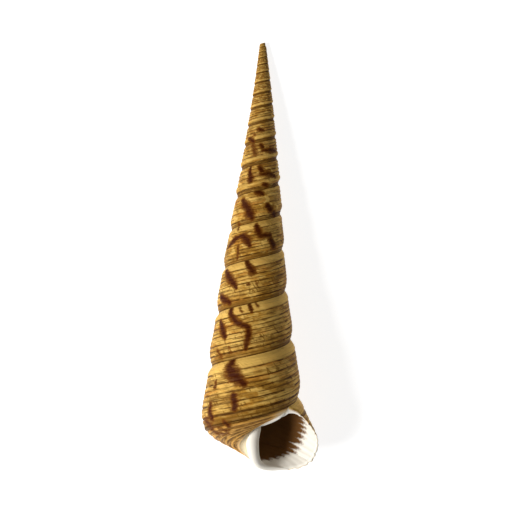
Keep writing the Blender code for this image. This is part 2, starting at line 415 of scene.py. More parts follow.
@dataclass(frozen=True)
class Markings:
    """All brown markings: those on the mouth side listed one by one, the rest strewn in the same manner."""

    seen: tuple[Streak, ...] = SEEN_STREAKS
    back_degrees: Pair = (88.0, 268.0)
    marked_whorls: int = 8
    per_whorl: int = 7
    seed: int = 7
    apart: Pair = (0.15, 0.85)
    top_v: Pair = (0.05, 0.80)
    lengths: Pair = (0.10, 0.42)
    half_widths: Pair = (0.04, 0.09)
    leans: Pair = (10.0, 60.0)
    kinks: Pair = (-8.0, 8.0)
    strengths: Pair = (0.6, 1.0)
    narrower_ends: Pair = (0.7, 0.6)
    reach: float = 1.9
    height_ratio: float = 0.78

    def strewn(self) -> list[Streak]:
        """Seeded markings for the back: slanting strokes, some bent, and small spots.

        Returns:
            The markings, whorl by whorl.
        """
        dice = np.random.default_rng(self.seed)
        start, end = self.back_degrees
        streaks = []
        for whorl in range(-1, self.marked_whorls):
            for count in range(self.per_whorl):
                degrees = start + (end - start) * (count + dice.uniform(*self.apart)) / self.per_whorl
                v, length = dice.uniform(*self.top_v), dice.uniform(*self.lengths)
                width, lean = dice.uniform(*self.half_widths), dice.uniform(*self.leans)
                kink = dice.uniform(*self.kinks)
                first = (degrees, v, width * self.narrower_ends[0])
                middle = (degrees + lean * length / 2 + kink, v + length / 2, width)
                last = (degrees + lean * length, v + length, width * self.narrower_ends[1])
                streaks.append(Streak(whorl, (first, middle, last), dice.uniform(*self.strengths)))
        return streaks

    def field(self, spiral: Spiral, turns: Array, v: Array) -> Array:
        """How far inside a marking each place lies.

        Args:
            spiral: the growth that turns angles to places.
            turns: turns back from the mouth.
            v: place down the wall.

        Returns:
            The strength of the marking along its middle, falling to 0 beyond its edge.
        """
        x = spiral.angle(turns) * self.height_ratio
        total = np.zeros(np.broadcast(turns, v).shape)
        for streak in [*self.seen, *self.strewn()]:
            ends = [
                (math.radians(degrees) + TURN * (streak.whorl + 1), down, half)
                for degrees, down, half in streak.points
            ]
            for (a0, v0, w0), (a1, v1, w1) in zip(ends, ends[1:]):
                along = np.array([(a1 - a0) * self.height_ratio, v1 - v0])
                from_x, from_v = x - a0 * self.height_ratio, v - v0
                part = np.clip((from_x * along[0] + from_v * along[1]) / (along @ along), 0.0, 1.0)
                away = np.hypot(from_x - part * along[0], from_v - part * along[1])
                inside = 1.0 - away / ((w0 + (w1 - w0) * part) * self.reach)
                total = np.maximum(total, streak.strength * np.clip(inside, 0.0, 1.0))
        return total


@dataclass(frozen=True)
class Laws:
    """The laws that every part of the shell grows by."""

    spiral: Spiral = field(default_factory=Spiral)
    sweep: Sweep = field(default_factory=Sweep)
    cords: Cords = field(default_factory=Cords)
    markings: Markings = field(default_factory=Markings)


# ---------------------------------------------------------------- parts of the shell


class Layer(Enum):
    """The values that the mesh carries for its finish."""

    GROWTH = "growth"
    TONE = "tone"
    MARKING = "marking"
    NACRE = "nacre"


@dataclass
class Sheet:
    """A grid of points, each with its growth place and the values for the finish.

    points is rings x columns x 3 in metres; the other arrays are rings x columns. size is
    the s of each point in mm. In the mouth, v holds the place round the mouth's edge.
    """

    points: Array
    turns: Array
    v: Array
    size: Array
    tone: Array
    marking: Array
    nacre: Array

    def add_to(self, bm: bmesh.types.BMesh) -> list[bmesh.types.BMVert]:
        """Wraps a flat grid onto the points and writes the finish values.

        Args:
            bm: the mesh that takes the sheet.

        Returns:
            The new vertices, ring by ring.
        """
        rings, columns = self.points.shape[:2]
        grid = bmesh.ops.create_grid(bm, x_segments=columns - 1, y_segments=rings - 1, size=1.0)
        for vert, point in zip(grid["verts"], self.points.reshape(-1, 3)):
            vert.co = point
        growth = bm.loops.layers.float_vector[Layer.GROWTH.value]
        flat = {
            bm.loops.layers.float[Layer.TONE.value]: self.tone.ravel(),
            bm.loops.layers.float[Layer.MARKING.value]: self.marking.ravel(),
            bm.loops.layers.float[Layer.NACRE.value]: self.nacre.ravel(),
        }
        places = np.stack([self.turns.ravel(), self.v.ravel(), self.size.ravel()], axis=1)
        for index, vert in enumerate(grid["verts"]):
            for loop in vert.link_loops:
                loop[growth] = places[index]
                for layer, values in flat.items():
                    loop[layer] = values[index]
        return grid["verts"]


@dataclass(frozen=True)
class Wall:
    """The wound wall of all whorls, with its cords and markings.

    densities are (first turn, last turn, rings to a turn), finest at the mouth. Each swell
    is (seed, pitch, strength), and uneven is the height of all of them over the suture's s.
    """

    laws: Laws
    densities: tuple[tuple[int, int, int], ...] = ((0, 5, 144), (5, 11, 72), (11, 17, 36))
    uneven: float = 0.0007
    lip_swells: tuple[tuple[int, float, float], ...] = ((3, 0.21, 0.6), (5, 0.045, 0.25))
    wall_swell: tuple[int, float, float] = (9, 0.9, 0.5)
    wall_swell_slant: float = 0.35
    even_edge: float = 0.05

    def _uneven(self, growth: Array, v: Array) -> Array:
        """Slight unevenness of growth: swellings along old lips, and long waves down the wall.

        Args:
            growth: turns back from the mouth, less the sweep of the lip.
            v: place down the wall.

        Returns:
            The outward relief over the s of the suture, 0 at both sutures.
        """
        swell = 0.0
        for seed, pitch, strength in self.lip_swells:
            swell = swell + wavering(growth, seed, pitch) * strength
        seed, pitch, strength = self.wall_swell
        swell = swell + strength * wavering(v + self.wall_swell_slant * growth, seed, pitch)
        return self.uneven * swell * (ramp(v, 0.0, self.even_edge) * ramp(v, 1.0, 1.0 - self.even_edge))

    def sheet(self, start: int, end: int, steps: int, joined_to_coarser: bool) -> Sheet:
        """The wall between two turns.

        Args:
            start: first turn back from the mouth.
            end: last turn.
            steps: rings to a turn.
            joined_to_coarser: whether the whorls above have half as many rings.

        Returns:
            The sheet. Its top edge meets the bottom edge of the whorl above, ring by ring.
        """
        spiral, sweep_law = self.laws.spiral, self.laws.sweep
        v = self.laws.cords.wall_columns()[None, :]
        ring_turns = np.linspace(start, end, (end - start) * steps + 1)[:, None]
        sweep = through(spiral.wall_v, sweep_law.wall, v)
        turns = sweep_law.turns(ring_turns, sweep) + 0.0 * v
        relief, tone = self.laws.cords.wall_relief(turns, v)
        growth = turns - sweep
        radius, s = spiral.wall(turns, v, relief + self._uneven(growth, v))
        points = spiral.place(turns, radius, s)
        if joined_to_coarser:
            last = slice(len(ring_turns) - steps, len(ring_turns) - 1, 2)
            before = slice(last.start - 1, len(ring_turns) - 2, 2)
            after = slice(last.start + 1, len(ring_turns), 2)
            points[last, 0] = (points[before, 0] + points[after, 0]) / 2.0
        marking = self.laws.markings.field(spiral, turns, v)
        size = s * spiral.suture(turns)
        return Sheet(points, growth, v + 0.0 * turns, size, tone, marking, np.zeros_like(size))

    def sheets(self) -> list[Sheet]:
        """The wall from the mouth to the tip, in pieces of falling density."""
        tip = self.densities[-1][1]
        return [self.sheet(start, end, steps, end < tip) for start, end, steps in self.densities]


@dataclass(frozen=True)
class Base:
    """The grooved base of the last whorl, whose inner edge runs down the pillar."""

    laws: Laws
    radius: Row = (0.1215, 0.1000, 0.0750, 0.0480, 0.0220, 0.0)
    s: Row = (1.1985, 1.2115, 1.2205, 1.2275, 1.2315, 1.2330)
    above_v: Pair = (0.88, 1.0)
    columns: int = 26
    height: float = 0.8
    pillar_points: int = 12
    from_wall: float = 0.04
    to_mouth: float = 0.9

    def places(self) -> Array:
        """Places of the columns, from the periphery (0) to the axis (1)."""
        return np.linspace(0.0, 1.0, self.columns)

    def section(self) -> tuple[Array, Array, Array]:
        """The section of the base, which goes on from the wall above it.

        Returns:
            Radius, s and lip sweep of the columns, from the periphery to the axis.
        """
        wall_r, wall_s = self.laws.spiral.wall(np.zeros(2), np.array(self.above_v), np.zeros(2))
        radius = np.array([*wall_r, *self.radius])
        s = np.array([*wall_s, *self.s])
        along = np.concatenate([[0.0], np.cumsum(np.hypot(np.diff(radius), np.diff(s)))])
        at = np.linspace(along[1], along[-1], self.columns)
        sweep = through(along[1:], self.laws.sweep.base, at)
        return through(along, radius, at), through(along, s, at), sweep

    def sheet(self, wall_edge: Array) -> Sheet:
        """The base, joined to the wall.

        Args:
            wall_edge: points of the wall's lower edge over the last whorl, ring by ring.

        Returns:
            The sheet, with as many rings as the edge has points.
        """
        spiral, steps = self.laws.spiral, len(wall_edge) - 1
        radius, s, sweep = (values[None, :] for values in self.section())
        b = self.places()[None, :]
        ring_turns = np.linspace(0.0, 1.0, steps + 1)[:, None]
        turns = self.laws.sweep.turns(ring_turns, sweep)
        group = steps // self.pillar_points
        turns[:, -1] = turns[(np.arange(steps + 1) // group) * group, -1]
        relief, tone = self.laws.cords.base_relief(b)
        held = ramp(ring_turns, 1.0, self.to_mouth)
        slope_r, slope_s = np.gradient(radius[0]), np.gradient(s[0])
        length = np.hypot(slope_r, slope_s)
        relief = relief * held * ramp(b, 0.0, self.from_wall)
        radius = radius + relief * slope_s / length
        s = s - relief * slope_r / length
        radius = np.maximum(radius, 0.0) * np.where(b < 1.0, 1.0, 0.0)
        points = spiral.place(turns, radius, s)
        points[:, 0] = wall_edge
        v = 1.0 + self.height * b + 0.0 * turns
        marking = self.laws.markings.field(spiral, turns, v)
        size = s * spiral.suture(turns)
        return Sheet(points, turns - sweep, v, size, tone * held + 0.0 * turns, marking, np.zeros_like(size))


@dataclass(frozen=True)
class Mouth:
    """The mouth: its swept edge, the rounded lip and the hollow behind it.

    The hollow's section is a closed ring of places. Each side of the mouth's edge has knots
    along it, and the place in the section that lies behind each knot.
    """

    laws: Laws
    base: Base
    hollow_radius: Row = (
        0.1060, 0.1235, 0.1300, 0.1362, 0.1345, 0.1262, 0.1110, 0.0870,
        0.0600, 0.0330, 0.0180, 0.0150, 0.0165, 0.0300, 0.0600, 0.0850, 0.1060,
    )
    hollow_s: Row = (
        1.0210, 1.0420, 1.0800, 1.1120, 1.1430, 1.1700, 1.1885, 1.2035,
        1.2130, 1.2165, 1.2030, 1.1500, 1.0760, 1.0510, 1.0430, 1.0345, 1.0210,
    )
    wall_knots: Row = (0.0, 0.25, 0.464, 0.64, 0.806, 0.947, 1.0)
    wall_places: Row = (0.0, 1.0, 2.0, 3.0, 4.0, 5.0, 5.35)
    base_knots: Row = (0.0, 0.15, 0.33, 0.5, 0.68, 0.86, 1.0)
    base_places: Row = (5.35, 5.9, 6.6, 7.5, 8.5, 9.4, 10.0)
    inner_knots: Row = (0.0, 0.14, 0.32, 0.5, 0.67, 0.85, 1.0)
    inner_places: Row = (12.2, 12.6, 13.35, 14.1, 15.0, 15.8, 16.0)
    hollow_turns: float = 2.5
    hollow_steps: int = 36
    first_turns: Row = (0.004, 0.010, 0.018)
    sweep_rounds: int = 12
    rib_height: float = 0.0016
    rib_turns: Pair = (0.30, 0.10)
    edge_rings: int = 5
    edge_nose: float = 0.30
    edge_ends: float = 6.0
    lip_thinner: float = 0.35
    thinner_turns: Pair = (0.07, 0.0)
    size: float = 100.0

    def rim(self, wall: Sheet, base: Sheet) -> tuple[Array, Array, Array]:
        """The closed edge of the mouth.

        Args:
            wall: the finest wall sheet, whose first ring is the outer lip.
            base: the base sheet, whose first ring is the foot of the lip and whose last
                ring is where the inner lip begins.

        Returns:
            The points round the mouth, the place of each in the hollow's section, and how
            far back the hollow's edge lies there, in turns.
        """
        group = (len(base.points) - 1) // self.base.pillar_points
        pillar = base.points[group : -1 : group, -1]
        inner = base.points[-1, ::-1]
        points = np.concatenate([wall.points[0], base.points[0, 1:], pillar, inner])
        v, b = self.laws.cords.wall_columns(), self.base.places()
        at_wall = through(self.wall_knots, self.wall_places, v)
        at_base = through(self.base_knots, self.base_places, b)
        at_inner = through(self.inner_knots, self.inner_places, b)
        at_pillar = np.linspace(self.base_places[-1], self.inner_places[0], len(pillar) + 2)[1:-1]
        section = np.concatenate([at_wall, at_base[1:], at_pillar, at_inner])
        law = self.laws.sweep
        wall_sweep = through(self.laws.spiral.wall_v, law.wall, v)
        base_sweep = self.base.section()[2]
        pillar_sweep = np.linspace(base_sweep[-1], law.pillar, len(pillar) + 2)[1:-1]
        inner_sweep = np.linspace(law.pillar, 0.0, len(inner))
        sweep = np.concatenate([wall_sweep, base_sweep[1:], pillar_sweep, inner_sweep])
        for _ in range(self.sweep_rounds):
            sweep = (np.roll(sweep, 1) + 2.0 * sweep + np.roll(sweep, -1)) / 4.0
        return points, section, sweep

    def _ribs(self, count: int) -> Array:
        """Tone of the ribs inside the outer lip, one behind each groove.

        Args:
            count: how many points the mouth's edge has.

        Returns:
            The tone at each point, 0 off the outer lip.
        """
        v = self.laws.cords.wall_columns()
        wall = self.laws.cords.wall_relief(np.zeros_like(v), v)[1]
        base = self.laws.cords.base_relief(self.base.places())[1]
        tone = np.concatenate([wall, base[1:]])
        return np.pad(tone, (0, count - len(tone)))

    def _on_outer_lip(self, outer: int, count: int) -> Array:
        """1 on the outer lip, falling to 0 at its ends and 0 on the rest of the mouth's edge."""
        at = np.arange(count)
        return (at < outer) * ramp(np.minimum(at, np.abs(outer - 1 - at)), 0.0, self.edge_ends)

    def sheet(self, wall: Sheet, base: Sheet) -> Sheet:
        """The rounded edge of the lip and the inside of the whorls behind it.

        Args:
            wall: the finest wall sheet.
            base: the base sheet.

        Returns:
            The sheet, whose first ring is the mouth's edge.
        """
        spiral = self.laws.spiral
        rim, section, sweep = self.rim(wall, base)
        knots = np.arange(len(self.hollow_radius))
        radius = through(knots, self.hollow_radius, section)
        s = through(knots, self.hollow_s, section)
        on_lip = self._on_outer_lip(len(wall.points[0]) + len(base.points[0]) - 1, len(rim))
        even = np.arange(1, int(self.hollow_turns * self.hollow_steps) + 1) / self.hollow_steps
        back = np.concatenate([self.first_turns, even])
        turns = self.laws.sweep.turns(back[:, None], sweep)
        ribs = self._ribs(len(rim)) * on_lip
        raised = self.rib_height * ribs * ramp(back, *self.rib_turns)[:, None]
        across = np.gradient(s), -np.gradient(radius)
        length = np.hypot(*across)
        ribbed_radius, ribbed_s = (smooth + raised * way / length for smooth, way in zip((radius, s), across))
        inner = spiral.place(turns, ribbed_radius, ribbed_s)
        thinner = self.lip_thinner * on_lip * ramp(back, *self.thinner_turns)[:, None]
        inner = inner + (rim - inner) * thinner[..., None]
        forward = spiral.place(turns[0] - self.first_turns[0], radius, s) - spiral.place(turns[0], radius, s)
        forward /= np.linalg.norm(forward, axis=1)[:, None]
        part = np.linspace(0.0, 1.0, self.edge_rings + 1)[:-1, None, None]
        nose = self.edge_nose * np.linalg.norm(inner[0] - rim, axis=1) * on_lip
        edge = rim + (inner[0] - rim) * part + forward * nose[:, None] * np.sin(math.pi * part)
        points = np.concatenate([edge, inner])
        points[:, -1] = points[:, 0]
        depth = np.concatenate([np.zeros(self.edge_rings), back])[:, None] + 0.0 * section
        nacre = np.concatenate([np.linspace(0.0, 1.0, self.edge_rings), np.ones(len(back))])[:, None]
        zero = np.zeros_like(depth)
        return Sheet(points, -depth, zero + section, zero + self.size, zero + ribs, zero, nacre + zero)


@dataclass(frozen=True)
class InnerLip:
    """The inner lip: a smooth ridge along the whorl above and down the pillar.

    The path is (x, depth, s) in mm, from the upper end of the mouth to its foot.
    """

    laws: Laws
    path: tuple[Triple, ...] = (
        (7.9, 6.4, 100.0), (6.5, 5.2, 101.2), (4.9, 3.9, 102.0), (3.1, 2.5, 102.7),
        (0.9, 0.8, 103.2), (0.2, 0.4, 105.0), (-0.2, 0.1, 107.5), (0.0, -0.3, 110.2),
        (0.5, -1.2, 112.5), (1.5, -2.4, 114.2), (3.1, -3.3, 115.1), (5.0, -3.85, 115.5),
        (7.3, -4.1, 115.65), (9.3, -3.95, 115.7),
    )
    radius: Row = (
        0.35, 0.60, 0.80, 1.0, 1.45, 1.80, 1.75, 1.55, 1.30, 1.05, 0.85, 0.65, 0.42, 0.25,
    )
    rounded_end: float = 0.4
    rings: int = 76
    sides: int = 18
    size: float = 105.0

    def sheet(self) -> Sheet:
        """The ridge as a tube along its path.

        Returns:
            The sheet, whose first and last columns meet.
        """
        knots = np.arange(len(self.path))
        at = np.linspace(0.0, knots[-1], self.rings)
        path = np.stack([through(knots, column, at) for column in np.array(self.path).T], axis=1)
        end = self.rounded_end
        rounded = ramp(at, -end, end) * ramp(at, knots[-1] + end, knots[-1] - end)
        radius = through(knots, self.radius, at) * np.sqrt(rounded)
        turned = np.linspace(0.0, TURN, self.sides + 1)
        rings = []
        for centre, direction, r in zip(path, np.gradient(path, axis=0), radius):
            facing = Vector((0.0, 0.0, 1.0)).rotation_difference(Vector(direction)).to_matrix()
            across, over = np.array(facing.col[0]), np.array(facing.col[1])
            rings.append(centre + r * (np.outer(np.cos(turned), across) + np.outer(np.sin(turned), over)))
        points = self.laws.spiral.laid_down(*np.moveaxis(np.array(rings), -1, 0))
        points[:, -1] = points[:, 0]
        zero = np.zeros(points.shape[:2])
        return Sheet(points, zero, zero, zero + self.size, zero, zero, zero + 1.0)


# ---------------------------------------------------------------- finish


class Value(Enum):
    """What the coats of colour follow: the mesh's values, noises, and what comes of them."""

    TURNS, V, SIZE, TONE, MARKING, NACRE = range(6)
    BROAD, TINT, CELLS, BANDS, SCORED, THREADS, HAIRS = range(6, 13)
    GROWTH_LINES, NETTED, BROKEN, REDDENED, RAGGED = range(13, 18)
    SPIRE, SMOOTH, ROUGH, HELD, SPREAD = range(18, 23)


class Noise(NamedTuple):
    """Noise in shell coordinates: so many to a turn, and so many down a whorl."""

    across: float
    down: float
    seed: float
    detail: float = 3.0
    rough: float = 0.6


class Follow(NamedTuple):
    """A smooth change with a value: low up to the start, high from the end on."""

    value: Value
    start: float
    end: float
    low: float = 0.0
    high: float = 1.0


class Coat(NamedTuple):
    """A colour laid over those below it, as thick as the product of what it follows."""

    colour: Triple
    follows: tuple[Follow | Value, ...]
    strength: float = 1.0


@dataclass(frozen=True)
class ShellFinish:
    """Colours, as linear red, green and blue, and the gloss and grain of the shell."""

    ground: Triple = (0.47, 0.230, 0.031)
    pale: Triple = (0.77, 0.480, 0.118)
    orange: Triple = (0.50, 0.178, 0.019)
    olive: Triple = (0.195, 0.088, 0.010)
    russet: Triple = (0.36, 0.15, 0.040)
    groove: Triple = (0.070, 0.024, 0.002)
    halo: Triple = (0.165, 0.050, 0.003)
    marking: Triple = (0.046, 0.0055, 0.0001)
    tan: Triple = (0.84, 0.43, 0.095)
    cream: Triple = (0.88, 0.76, 0.52)
    nacre: Triple = (0.92, 0.87, 0.77)
    # deep: the brown deep in the mouth, partly its own colour and partly painted shade of the hollow
    deep: Triple = (0.17, 0.075, 0.022)
    thread_roughness: Follow = Follow(Value.THREADS, 0.3, 0.7, 0.56, 0.41)
    nacre_smoother: float = 0.14
    specular: float = 0.04
    bump_strength: float = 0.6
    bump_distance: float = 0.00045
    bump_shares: Triple = (0.55, 0.30, 0.15)
    nacre_flatter: float = 0.95
    grain: Triple = (1600.0, 3.0, 0.6)
    ragged_edge: float = 1.35
    band_clears: float = 0.7
    spire_grooved: float = 0.8
    spire: Follow = Follow(Value.SIZE, 58.0, 26.0)
    band: tuple[Follow, Follow] = (Follow(Value.V, 0.20, 0.16), Follow(Value.SIZE, 40.0, 62.0))
    off_base: Follow = Follow(Value.V, 1.0, 1.08, 1.0, 0.30)
    off_spire: Follow = Follow(Value.SIZE, 58.0, 40.0, 1.0, 0.72)
    groove_breaks: tuple[Follow, Follow] = (
        Follow(Value.THREADS, 0.68, 0.44, 0.35, 1.0), Follow(Value.BROKEN, 0.34, 0.48, 0.3, 1.0),
    )
    inside: Follow = Follow(Value.NACRE, 0.1, 0.8)
    finger_ends: Pair = (-0.060, -0.105)
    finger_length: float = 0.030
    finger_noise: Triple = (1500.0, 3.0, 0.55)
    finger_ragged: float = 0.05

    @staticmethod
    def noises() -> dict[Value, Noise]:
        """The noises that colour the shell, each with its own seed.

        Returns:
            The noise for each of its names.
        """
        return {
            Value.BROAD: Noise(5.0, 2.6, 5.0),
            Value.TINT: Noise(4.0, 6.0, 14.0),
            Value.CELLS: Noise(17.0, 6.0, 31.0, 2.0, 0.5),
            Value.BANDS: Noise(2.4, 12.0, 1.0),
            Value.SCORED: Noise(6.0, 26.0, 51.0, 3.0, 0.65),
            Value.THREADS: Noise(20.0, 40.0, 0.0, 3.0, 0.65),
            Value.HAIRS: Noise(50.0, 110.0, 3.0, 2.0),
            Value.GROWTH_LINES: Noise(85.0, 5.0, 9.0, 2.0),
            Value.NETTED: Noise(6.0, 4.0, 21.0, 2.0),
            Value.BROKEN: Noise(13.0, 11.0, 41.0, 2.0),
            Value.REDDENED: Noise(3.0, 9.0, 61.0, 2.0),
            Value.RAGGED: Noise(44.0, 21.0, 2.0, 4.0, 0.75),
        }

    def coats(self) -> tuple[Coat, ...]:
        """The coats of colour over the ground.

        Returns:
            The coats, the lowest first.
        """
        rough, under_suture = Value.ROUGH, Follow(Value.V, 1.03, 1.0)
        return (
            # patches and cells of the ground
            Coat(self.pale, (Follow(Value.BROAD, 0.40, 0.62, 0.0, 0.8),)),
            Coat(self.orange, (Follow(Value.TINT, 0.47, 0.70, 0.0, 0.8),)),
            Coat(self.pale, (Follow(Value.CELLS, 0.53, 0.60, 0.0, 0.75),)),
            Coat(self.olive, (Follow(Value.CELLS, 0.47, 0.38, 0.0, 0.55), rough)),
            # the smooth band under the suture, and the duller, redder upper whorls
            Coat(self.pale, (Value.SMOOTH,), 0.7),
            Coat(self.olive, (Value.SPIRE,), 0.22),
            Coat(self.russet, (Value.SPIRE, Follow(Value.REDDENED, 0.52, 0.62, 0.0, 0.6))),
            # lines along the cords and across them
            Coat(self.olive, (Follow(Value.BANDS, 0.52, 0.66, 0.0, 0.65), rough)),
            Coat(self.olive, (Follow(Value.THREADS, 0.50, 0.33, 0.0, 0.8), rough)),
            Coat(self.pale, (Follow(Value.HAIRS, 0.54, 0.68, 0.0, 0.45),)),
            Coat(
                self.olive,
                (Follow(Value.GROWTH_LINES, 0.56, 0.64), Follow(Value.NETTED, 0.47, 0.56, 0.12, 0.8), rough),
            ),
            Coat(self.groove, (Follow(Value.SCORED, 0.56, 0.63, 0.0, 0.75), rough)),
            # the base's own ground, the pale keel, and the dark grooves: brown lines, and on the spire
            # painted shade in the furrow under the keel
            Coat(self.tan, (Follow(Value.V, 1.01, 1.08, 0.0, 0.72),)),
            Coat(self.pale, (Follow(Value.TONE, 0.35, 1.0, 0.0, 0.62),)),
            Coat(
                self.groove,
                (Follow(Value.TONE, -0.22, -0.80), Value.HELD, Follow(Value.V, 1.0, 1.06, 1.0, 0.85)),
            ),
            # painted shade over the suture: an olive band, and a dark line in the crease
            Coat(
                self.olive,
                (Follow(Value.V, 0.86, 0.93), under_suture, Follow(Value.BROAD, 0.35, 0.6, 0.75, 0.45)),
            ),
            Coat(self.groove, (Follow(Value.V, 0.955, 0.99), under_suture), 0.75),
            # fresh flecks on the upper whorls, and the base's pale cords and pillar
            Coat(
                self.pale,
                (
                    Follow(Value.CELLS, 0.56, 0.62, 0.0, 0.55),
                    Follow(Value.SIZE, 66.0, 52.0),
                    Follow(Value.V, 0.84, 0.74),
                ),
            ),
            Coat(
                self.cream,
                (
                    Follow(Value.V, 1.02, 1.10),
                    Follow(Value.TONE, -0.45, -0.10),
                    Follow(Value.TURNS, 0.55, 0.9, 0.0, 0.75),
                ),
            ),
            Coat(self.cream, (Follow(Value.V, 1.52, 1.68, 0.0, 0.9),)),
            # the brown markings
            Coat(self.halo, (Follow(Value.SPREAD, 0.06, 0.50, 0.0, 0.88), Follow(Value.MARKING, 0.0, 0.12))),
            Coat(
                self.marking,
                (
                    Follow(Value.SPREAD, 0.28, 0.86),
                    Follow(Value.MARKING, 0.05, 0.3),
                    Follow(Value.THREADS, 0.38, 0.66, 1.0, 0.80),
                ),
            ),
        )


class Wiring:
    """Short ways to wire a node tree."""

    def __init__(self, tree: bpy.types.NodeTree) -> None:
        """Takes the tree that the nodes go in."""
        self.tree = tree

    def node(
        self, kind: str, inputs: dict[int | str, object] | None = None, **settings: object
    ) -> bpy.types.Node:
        """Adds a node.

        Args:
            kind: the node's type.
            inputs: sockets to link, or values to set, by socket index or name.
            settings: properties of the node.

        Returns:
            The node.
        """
        node = self.tree.nodes.new(kind)
        for name, value in settings.items():
            setattr(node, name, value)
        for key, value in (inputs or {}).items():
            if isinstance(value, Socket):
                self.tree.links.new(value, node.inputs[key])
            else:
                node.inputs[key].default_value = value
        return node

    def attribute(self, layer: Layer) -> bpy.types.Node:
        """Reads one of the mesh's values."""
        return self.node("ShaderNodeAttribute", attribute_name=layer.value)

    def math(self, operation: str, *values: object) -> Socket:
        """A sum, difference or other operation on numbers."""
        return self.node("ShaderNodeMath", dict(enumerate(values)), operation=operation).outputs[0]

    def product(self, *values: object) -> Socket:
        """The product of numbers.

        Args:
            values: sockets or plain numbers.

        Returns:
            The product, or the one value if there is only one.
        """
        result = values[0]
        for value in values[1:]:
            result = self.math("MULTIPLY", result, value)
        return result

    def centred(self, noise: Socket, height: float) -> Socket:
        """A noise moved to lie round 0, and scaled."""
        return self.product(self.math("SUBTRACT", noise, 0.5), height)

    def noise(self, vector: Socket, scale: float, detail: float, rough: float) -> Socket:
        """Soft noise around a half."""
        inputs = {"Vector": vector, "Scale": scale, "Detail": detail, "Roughness": rough}
        return self.node("ShaderNodeTexNoise", inputs).outputs["Fac"]

    def ramped(self, value: Socket, start: float, end: float, low: float = 0.0, high: float = 1.0) -> Socket:
        """Low up to the start and high from the end, smooth between."""
        inputs = {"Value": value, "From Min": start, "From Max": end, "To Min": low, "To Max": high}
        return self.node("ShaderNodeMapRange", inputs, interpolation_type="SMOOTHSTEP").outputs[0]

    def mixed(self, share: object, first: object, second: object) -> Socket:
        """Two colours mixed, each a socket or a plain colour.

        Args:
            share: how much of the second there is, from 0 to 1.
            first: the colour below.
            second: the colour above.

        Returns:
            The mixed colour.
        """
        inputs = {0: share}
        for key, value in zip(MIX_COLOURS, (first, second)):
            inputs[key] = (*value, 1.0) if isinstance(value, tuple) else value
        return self.node("ShaderNodeMix", inputs, data_type="RGBA").outputs[MIX_RESULT]


